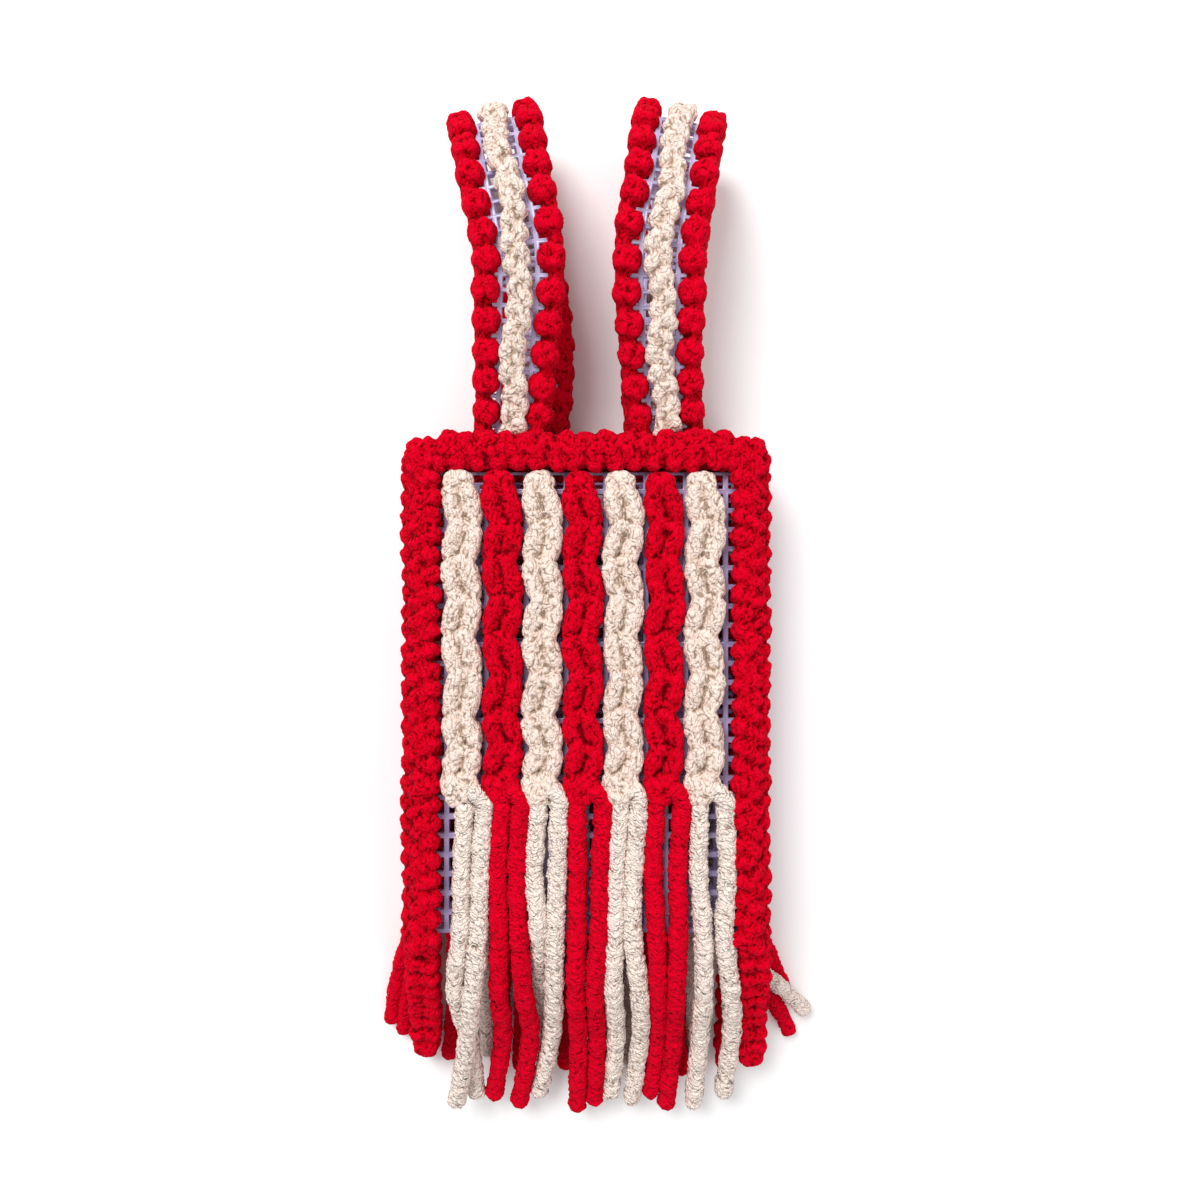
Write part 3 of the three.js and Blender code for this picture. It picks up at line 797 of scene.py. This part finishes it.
def make_stripe(index, front):
    """A zigzag chain: each link is two bowed legs round a short crease, and starts over the end of
    the link above. Returns the lumps and the creases."""
    if front:
        top, foot, out = 40.6, FACE_TOP - 0.2, UP
    else:
        top, foot, out = 0.2, BACK_FOOT + 0.2, -UP
    middle = (top + foot) / 2
    thick = abs(top - foot)
    x = stripe_x(index)
    bends = [(x - SWAY * (1 + jitter(0.25)) * (-1) ** k, y + jitter(0.7))
             for k, y in enumerate(STRIPE_BENDS)]
    first, last = [(x + offset, y) for offset, y in STRIPE_ENDS]
    bends = [first, *bends, last]
    parts, creases = [], []
    for (left, high), (right, low) in zip(bends, bends[1:]):
        run = Vector((left - right, high - low, 0))
        length = run.length
        along = run.normalized()
        side = Vector((along.y, -along.x, 0))
        centre = Vector(((left + right) / 2, (high + low) / 2 - 0.4, middle))
        if length < SHORTEST_LINK:
            parts.append(set_down(LEAF, spot(*centre), ACROSS, out, (10.4, 7.6, thick)))
            continue
        for leg in (-1, 1):
            place = centre + side * leg * 2.6 + out * jitter(0.2)
            turn = along + side * leg * jitter(0.05) + out * 0.15
            parts.append(set_down(LEAF, spot(*place), turn, out,
                                  (length + 3.6, -leg * 6.2 * out.z, thick * 1.02)))
        for share in (-0.36, 0.4):
            place = centre + along * length * share - out * 0.3
            parts.append(set_down(SMALL, spot(*place), along, out,
                                  (length * 0.42, 6.4, thick * 0.9)))
        place = centre - out * 0.3
        parts.append(set_down(SMALL, spot(*place), along, out, (length, 6.4, thick * 0.92)))
        turn = math.copysign(1, right - left)
        upper = centre + along * length * (0.2 + jitter(0.05)) + side * jitter(0.4)
        lower = centre - along * length * (0.28 + jitter(0.05)) + side * jitter(0.4)
        branch = lower + Vector((turn * (1.8 + jitter(0.5)), -1 + jitter(0.4), 0))
        creases += [(upper, lower), (lower, branch)]
    return parts, creases


# ---- tails ----
# For each front tail: its stripe; how far across from the middle of that it lies at each of
# TAIL_PLACES and at its tip; how far below the fold its tip is; and how high it rides on others.
TAIL_PLACES = [42.5, 23.6, 4, -17.7, -38.4]
FRONT_TAILS = [
    (0, (1, 0, -0.3, -2.8, -0.6, 1.4), 65.5, 0), (0, (7.3, 6.2, 5.5, 3.2, 0, -5.4), 65.5, 5.6),
    (1, (-0.3, -1.5, -0.9, -1.8, -1.6, -6), 66, 0), (1, (5.9, 4.9, 5.5, 6.5, 7.9, 3), 68.5, 0),
    (2, (-1.5, -2.9, -1.3, -1.7), 40, 0), (2, (5.3, 4.8, 4, 3.4, 2.1, -3.4), 65, 0),
    (3, (-2.1, -1.8, -2.1, -2.6, -1.9, -2.6), 70, 0), (3, (6.6, 5.6, 5.2, 3.7, 4.4, 3.3), 67.5, 0),
    (4, (-1.2, -2.4, -2.8, -3.2, -2.1, -3.9), 65.5, 0),
    (4, (4.8, 3.3, 2.8, 5.4, 6.3, 3.5), 67.5, 0),
    (5, (-2.6, -3.6, -2.5, -1.6, -1, -3.2), 65.5, 0), (5, (5.7, 4.4, 4.7, 4.3, 4.4, 2.6), 69, 0),
    (6, (-1.6, -2, -0.4, 0.2, 0.4, -1), 69, 0), (6, (6.7, 7.5, 6.4, 9.3, 11.4, 9.6), 65.5, 0),
]
# For each back tail: its stripe; how far across from the middle of that it lies at the fold,
# half-way and at its tip; and how far below the fold its tip is.
BACK_TAILS = [
    (0, -3, -3.4, -3, 57), (0, 3, 3.2, 4.4, 55), (1, -3, -3.4, -5, 58), (1, 3, 3.6, 2.4, 60),
    (2, -3, -3.6, -6.5, 56), (2, 3, 1.6, -1, 58), (3, -3, -5, -7.5, 60), (3, 3, 4.4, 6.2, 58),
    (4, -3, -4, -3.4, 55), (4, 3, 3.4, 3.6, 59), (5, -3, -3.4, -1.6, 60), (5, 3, 6, 9.4, 62),
    (6, -3, -1, 1.5, 58),
]
# The last back tail crosses over the hanging chain beside it and ends out on the surface.
STRAY_TAIL = [
    (41.7, 43, 2.9), (42, 6, 2.9), (40.6, -4, 3.6), (42.2, -10, 8.4), (47.5, -14.5, 11.6),
    (54, -17.5, 11.6), (60.5, -20, 9.8), (67, -25, 8.6), (74, -32, 5.4), (80.5, -38.6, 3.2),
]
FRONT_TAIL_WIDTH = 6.4
FRONT_TAIL_Z = 37.1   # middle of a front tail on the canvas
RESTING_Z = 10        # and where it comes down on the back ones
BACK_TAIL_START = (2.6, 44)     # inside its knot: from the middle of the stripe, and above the fold
BACK_TAIL_Z = 2.9
BACK_TAIL_HEIGHT = 5.6


def droop(y, reach):
    """Height of a front tail: level on the canvas, then down in one easy curve."""
    t = min(1, max(0, -y / reach))
    return FRONT_TAIL_Z + (RESTING_Z - FRONT_TAIL_Z) * t * t * (3 - 2 * t)


def front_tail(index, offsets, reach, ride):
    """A tail from its knot to its tip. The right one of a pair comes over the knot's shoulder."""
    x = stripe_x(index)
    over = offsets[0] > 2.5
    if over:
        rows = [(1.0, 50, 0.9), (4.1, 49.2, 1.2), (offsets[0] + 0.1, 46, 0.8)]
    else:
        rows = [(offsets[0] + 0.2, 48, -0.6), (offsets[0], 45, -0.4)]
    for offset, y in zip(offsets, TAIL_PLACES[:len(offsets) - 1] + [-reach]):
        lift = ride * min(1, max(0, -y / 30)) + (0.5 if over and y > 0 else 0)
        rows.append((offset, y, lift))
    rows = [(x + offset, y, droop(y, reach) + lift) for offset, y, lift in rows]
    return strand("front_tail", rows, FRONT_TAIL_WIDTH)


def back_tail(index, fold, half, tip, reach):
    """A tail from its knot to its tip, flat on the surface."""
    x = stripe_x(index)
    spread, start = BACK_TAIL_START
    rows = [(math.copysign(spread, fold), start), (fold, 4), (half, -reach * 0.5), (tip, -reach)]
    rows = [(x + offset, y, BACK_TAIL_Z) for offset, y in rows]
    return strand("back_tail", rows, height=BACK_TAIL_HEIGHT, step=0.8, sides=12)


def make_knot(index, front):
    """The knot that ends a stripe: a few short folds round the roots of its tails."""
    middle, out = (37.4, UP) if front else (3.0, -UP)
    thick = 8 if front else 5.6
    x = stripe_x(index)
    parts = []
    for dx, y, size in ((-2.4, 48, 7.4), (1.6, 50.2, 7), (-1.6, 51.4, 7), (0.4, 47.6, 5.6)):
        place = spot(x + dx + jitter(0.3), y + jitter(0.4), middle + jitter(0.2))
        parts.append(set_down(SMALL, place, Vector((dx * 0.12 + jitter(0.2), 1, 0)), out,
                              (size * 1.1, size, thick)))
    return parts


# ---- handles ----
HANDLE_X = 25.3       # where a handle leaves the mouth, from the middle of the bag
HANDLE_STEP = 0.5     # between the points of its middle line
HANDLE_CELLS = 4      # cells across it
HANDLE_ROW = 4.8      # pitch of its rungs, as its canvas is finer that way
BEADS_OUT = 11.3      # from its middle line to the middle of the beads on its edge
CHAIN_START = 8       # from its end to the first fold of the chain along it
CHAIN_FOLD = 3.3      # pitch of those folds
TOP_TWIST = 0.2       # how far its top turns, the inner edge leading
TWIST_FROM = 78       # how far beyond the mouth that starts
TWIST_OVER = 22       # and over what length
# The middle line of a handle: how far beyond the mouth, how high, how far out of line, and how much
# further in the left handle lies there.
HANDLE = [
    (-8, 27.3, 1.4, 1.6), (2, 27.8, 1.4, 1.8), (25, 36, -0.8, 1.6), (55, 43, -1.4, 2.4),
    (80, 42, 2.2, 1.3), (99, 34, 5, 0.6), (106.5, 21, 7, 0.4), (100, 10, 6.4, 1),
    (82, 7.3, 4, 2.6), (50, 7.3, 1, 5.1), (25, 7.3, 0.8, 7.4), (12, 9, 0.9, 6.9),
    (0, 12.7, 1.2, 6.2), (-8, 12.7, 1.2, 5.6),
]
# How much narrower a handle is on each side, by how far along it is from the nearer end.
DRAWN_IN = [(0, 2.4), (16, 2.4), (32, 1.8), (49, 0.9), (82, 0.6), (103, 0.4), (125, 0)]


class HandlePath:
    """The middle line of a handle, with the directions along, across and out of it."""

    def __init__(self, side):
        rows = [(side * (HANDLE_X + lean) + (inward if side < 0 else 0), RIM_TOP + beyond, z)
                for beyond, z, lean, inward in HANDLE]
        self.side = side
        self.points = smooth_path(rows, HANDLE_STEP)
        self.length = (len(self.points) - 1) * HANDLE_STEP
        self.rows = round(self.length / HANDLE_ROW)
        self.pitch = self.length / self.rows

    def at(self, run):
        """The place run millimetres along, and the directions there."""
        share = min(max(run / HANDLE_STEP, 0), len(self.points) - 1.001)
        i = int(share)
        centre = self.points[i].lerp(self.points[i + 1], share - i)
        before, after = self.points[max(0, i - 4)], self.points[min(len(self.points) - 1, i + 5)]
        along = (after - before).normalized()
        bend = min(1, max(0, (centre.y - RIM_TOP - TWIST_FROM) / TWIST_OVER))
        level = Vector((1, -self.side * TOP_TWIST * bend, 0))
        across = (level - along * along.dot(level)).normalized()
        return centre, along, across, across.cross(along)

    def drawn_in(self, run):
        """How much narrower it is there on each side."""
        run = min(run, self.length - run)
        for (near, more), (far, less) in zip(DRAWN_IN, DRAWN_IN[1:]):
            if run <= far:
                return more + (less - more) * (run - near) / (far - near)
        return 0


def make_handle_canvas(path, name):
    """A narrow strip of canvas, swept along the handle."""
    sheet = canvas_grid(HANDLE_CELLS, path.rows)
    for vertex in sheet.data.vertices:
        u, run, lift = vertex.co / MM
        u -= HANDLE_CELLS / 2 * CELL
        run *= path.pitch / ROW
        centre, _, across, out = path.at(run)
        width = 0.98 - path.drawn_in(run) / BEADS_OUT
        vertex.co = spot(*(centre + across * u * width + out * lift))
    # The handle takes the lighter copy of the plastic, with painted light for what shines through
    # it.
    finish_canvas(sheet, f"handle_{name}_canvas_strip", [f"handle_{name}_canvas"],
                  LAVENDER_WITH_PAINTED_LIGHT)


def make_handle_binding(path, edge):
    """Beads over one edge of a handle: one pom of small folds to two cells, and a smaller bump
    outside each rung between them."""
    parts = []
    for i in range(1, path.rows - 1, 2):
        centre, along, across, out = path.at(i * path.pitch)
        beside = BEADS_OUT - path.drawn_in(i * path.pitch)
        place = centre + across * edge * (beside + jitter(0.2)) + out * 0.8 + along * jitter(0.3)
        parts.append(set_down(PUFF, spot(*place), across, out, (10, 9.6, 9.2)))
        parts.append(set_down(SMALL, spot(*(place - out * 3.2)), along, -out, (8.2, 9.4, 6.6)))
        turn = jitter(0.7)
        for k in range(4):
            angle = turn + k * math.pi / 2
            fold = (place + along * math.cos(angle) * 2.3 + across * math.sin(angle) * 2.2
                    + out * (2.4 + jitter(0.3)))
            spoke = along * math.sin(angle) + across * math.cos(angle)
            parts.append(set_down(SMALL, spot(*fold), spoke, out,
                                  (5.2 + jitter(0.4), 4.2 + jitter(0.3), 4.8)))
        centre, along, across, out = path.at((i + 1) * path.pitch)
        place = centre + across * edge * (beside + 1.5 + jitter(0.3)) - out * 1
        parts.append(set_down(SMALL, spot(*place), along, out, (7.6 + jitter(0.5), 6.2, 8.6)))
    return parts


def make_handle_chain(path):
    """A cream chain along the middle of a handle: short plump folds, left and right in turn."""
    parts = []
    for i in range(int((path.length - 14) / CHAIN_FOLD)):
        centre, along, across, out = path.at(CHAIN_START + i * CHAIN_FOLD)
        leg = 1 if i % 2 else -1
        lean = 0.9 * math.sin(i * 0.62)
        place = (centre + across * (lean + leg * (1.9 + jitter(0.3)))
                 + out * (3.6 + jitter(0.4)) + along * jitter(0.5))
        turn = along + across * (leg * -0.35 + jitter(0.3)) + out * 0.1
        parts.append(set_down(SMALL, spot(*place), turn, out,
                              (8 + jitter(1), 5.8 + jitter(0.4), 6.2)))
    return parts


# ---- the bag ----
set_camera()
set_light()
bpy.context.scene.view_settings.view_transform = "Standard"

select_only()
bpy.ops.mesh.primitive_plane_add(size=8, location=(0, 0, -0.0002))
floor = bpy.context.object
floor.name = "floor"
floor.data.materials.append(floor_material())

# Colours from painted shade in the hollows, through the yarn's own colour, to painted light on the
# highest pile, for worked yarn and for loose strands; and the sheen tint of the pile.
RED_STOPS = [(0.03, (0.18, 0.0, 0.003)), (0.33, (0.53, 0.0, 0.008)), (0.72, (0.70, 0.0, 0.018))]
RED_STRAND_STOPS = [
    (0.05, (0.17, 0.0, 0.003)), (0.32, (0.54, 0.0, 0.008)), (0.66, (0.76, 0.0, 0.018))]
CREAM_STOPS = [
    (0.0, (0.42, 0.30, 0.22)), (0.3, (0.75, 0.57, 0.47)), (0.6, (0.88, 0.735, 0.65))]
CREAM_STRAND_STOPS = [
    (0.0, (0.30, 0.20, 0.15)), (0.28, (0.68, 0.50, 0.41)), (0.56, (1.0, 0.85, 0.76))]
RED_PILE = (1.0, 0.04, 0.12)
CREAM_PILE = (1.0, 0.85, 0.82)

RED = chenille("red_chenille", through_lumps, RED_STOPS, 0.15, RED_PILE, 0.4)
CREAM = chenille("cream_chenille", through_lumps, CREAM_STOPS, 0.2, CREAM_PILE, 0.5)
RED_STRAND = chenille("red_strand", around_strand, RED_STRAND_STOPS, 0.15, RED_PILE, 0.7)
CREAM_STRAND = chenille("cream_strand", around_strand, CREAM_STRAND_STOPS, 0.2, CREAM_PILE, 0.9)
LAVENDER = moulded_canvas("lavender_canvas", [(0.3, (0.33, 0.25, 0.46)), (0.7, (0.50, 0.41, 0.66))])
# The handles' canvas: the same plastic made lighter, with painted light for the light that comes
# through it from the bright floor behind.
LAVENDER_WITH_PAINTED_LIGHT = moulded_canvas(
    "lavender_canvas_painted_light", [(0.3, (0.38, 0.35, 0.56)), (0.7, (0.55, 0.52, 0.76))])
# Even stripes and their tails are cream, odd ones red.
YARNS = [("cream", CREAM, CREAM_STRAND, "cream_yarn"), ("red", RED, RED_STRAND, "red_yarn")]

# How fine the skin over worked yarn is.
FACE_SKIN = {"front": 0.67, "back": 0.95}
STRIPE_SKIN = 0.96    # beside that of its face
SIDE_RIM_SKIN = 0.7
HANDLE_CHAIN_SKIN = 0.78
HANDLE_BEAD_SKIN = 0.88

make_body_canvas()
for face in ("front", "back"):
    front = face == "front"
    skin = FACE_SKIN[face]
    finish_yarn(join(f"rim_{face}_yarn", make_rim(front)), RED, [f"rim_{face}"], skin)
    for name, side in SIDES:
        key = f"{face}_{name}"
        beads = make_border(front, side)
        beads += make_hanging_chain(CHAINS[key], 1 if front else BACK_CHAIN_WIDTH)
        finish_yarn(join(f"border_{key}_yarn", beads), RED, [f"border_{key}"], skin)
        if key in SEAM_ENDS:
            ends = [strand("seam_end", rows, step=0.6, sides=14) for rows in SEAM_ENDS[key]]
            finish_yarn(join(f"seam_ends_{name}", ends), RED_STRAND,
                        [f"border_{key}"], folds=0.3, pile=0.3)
    for index in range(STRIPES):
        _, worked, _, slot = YARNS[index % 2]
        lumps, creases = make_stripe(index, front)
        finish_yarn(join(f"stripe_{face}_{index + 1}_yarn", lumps), worked,
                    [f"stripe_{face}_{index + 1}"], skin * STRIPE_SKIN, pile=0.4, creases=creases)
    for first, (word, worked, loose, slot) in enumerate(YARNS):
        knots = [part for index in range(first, STRIPES, 2) for part in make_knot(index, front)]
        finish_yarn(join(f"knots_{face}_{word}", knots), worked, [f"fringe_{face}"], skin)
        make_tail, rows = (front_tail, FRONT_TAILS) if front else (back_tail, BACK_TAILS)
        tails = [make_tail(*row) for row in rows if row[0] % 2 == first]
        if not front and word == "cream":
            tails.append(strand("stray_tail", STRAY_TAIL, height=BACK_TAIL_HEIGHT, step=0.6,
                                sides=14))
        finish_yarn(join(f"tails_{face}_{word}", tails), loose, [f"fringe_{face}"],
                    folds=0.5, pile=0.5)
for name, side in SIDES:
    make_gusset(side, name)
    finish_yarn(join(f"rim_{name}_yarn", make_rim_side(side)), RED, [f"rim_{name}"],
                SIDE_RIM_SKIN)
    path = HandlePath(side)
    make_handle_canvas(path, name)
    finish_yarn(join(f"handle_{name}_chain_yarn", make_handle_chain(path)), CREAM,
                [f"handle_{name}_chain"], HANDLE_CHAIN_SKIN, folds=0.9, pile=0.4)
    for edge_name, edge in (("outer", side), ("inner", -side)):
        beads = make_handle_binding(path, edge)
        finish_yarn(join(f"handle_{name}_{edge_name}_beads", beads), RED,
                    [f"handle_{name}_binding_{edge_name}"], HANDLE_BEAD_SKIN, folds=0.5)
remove_shapes()
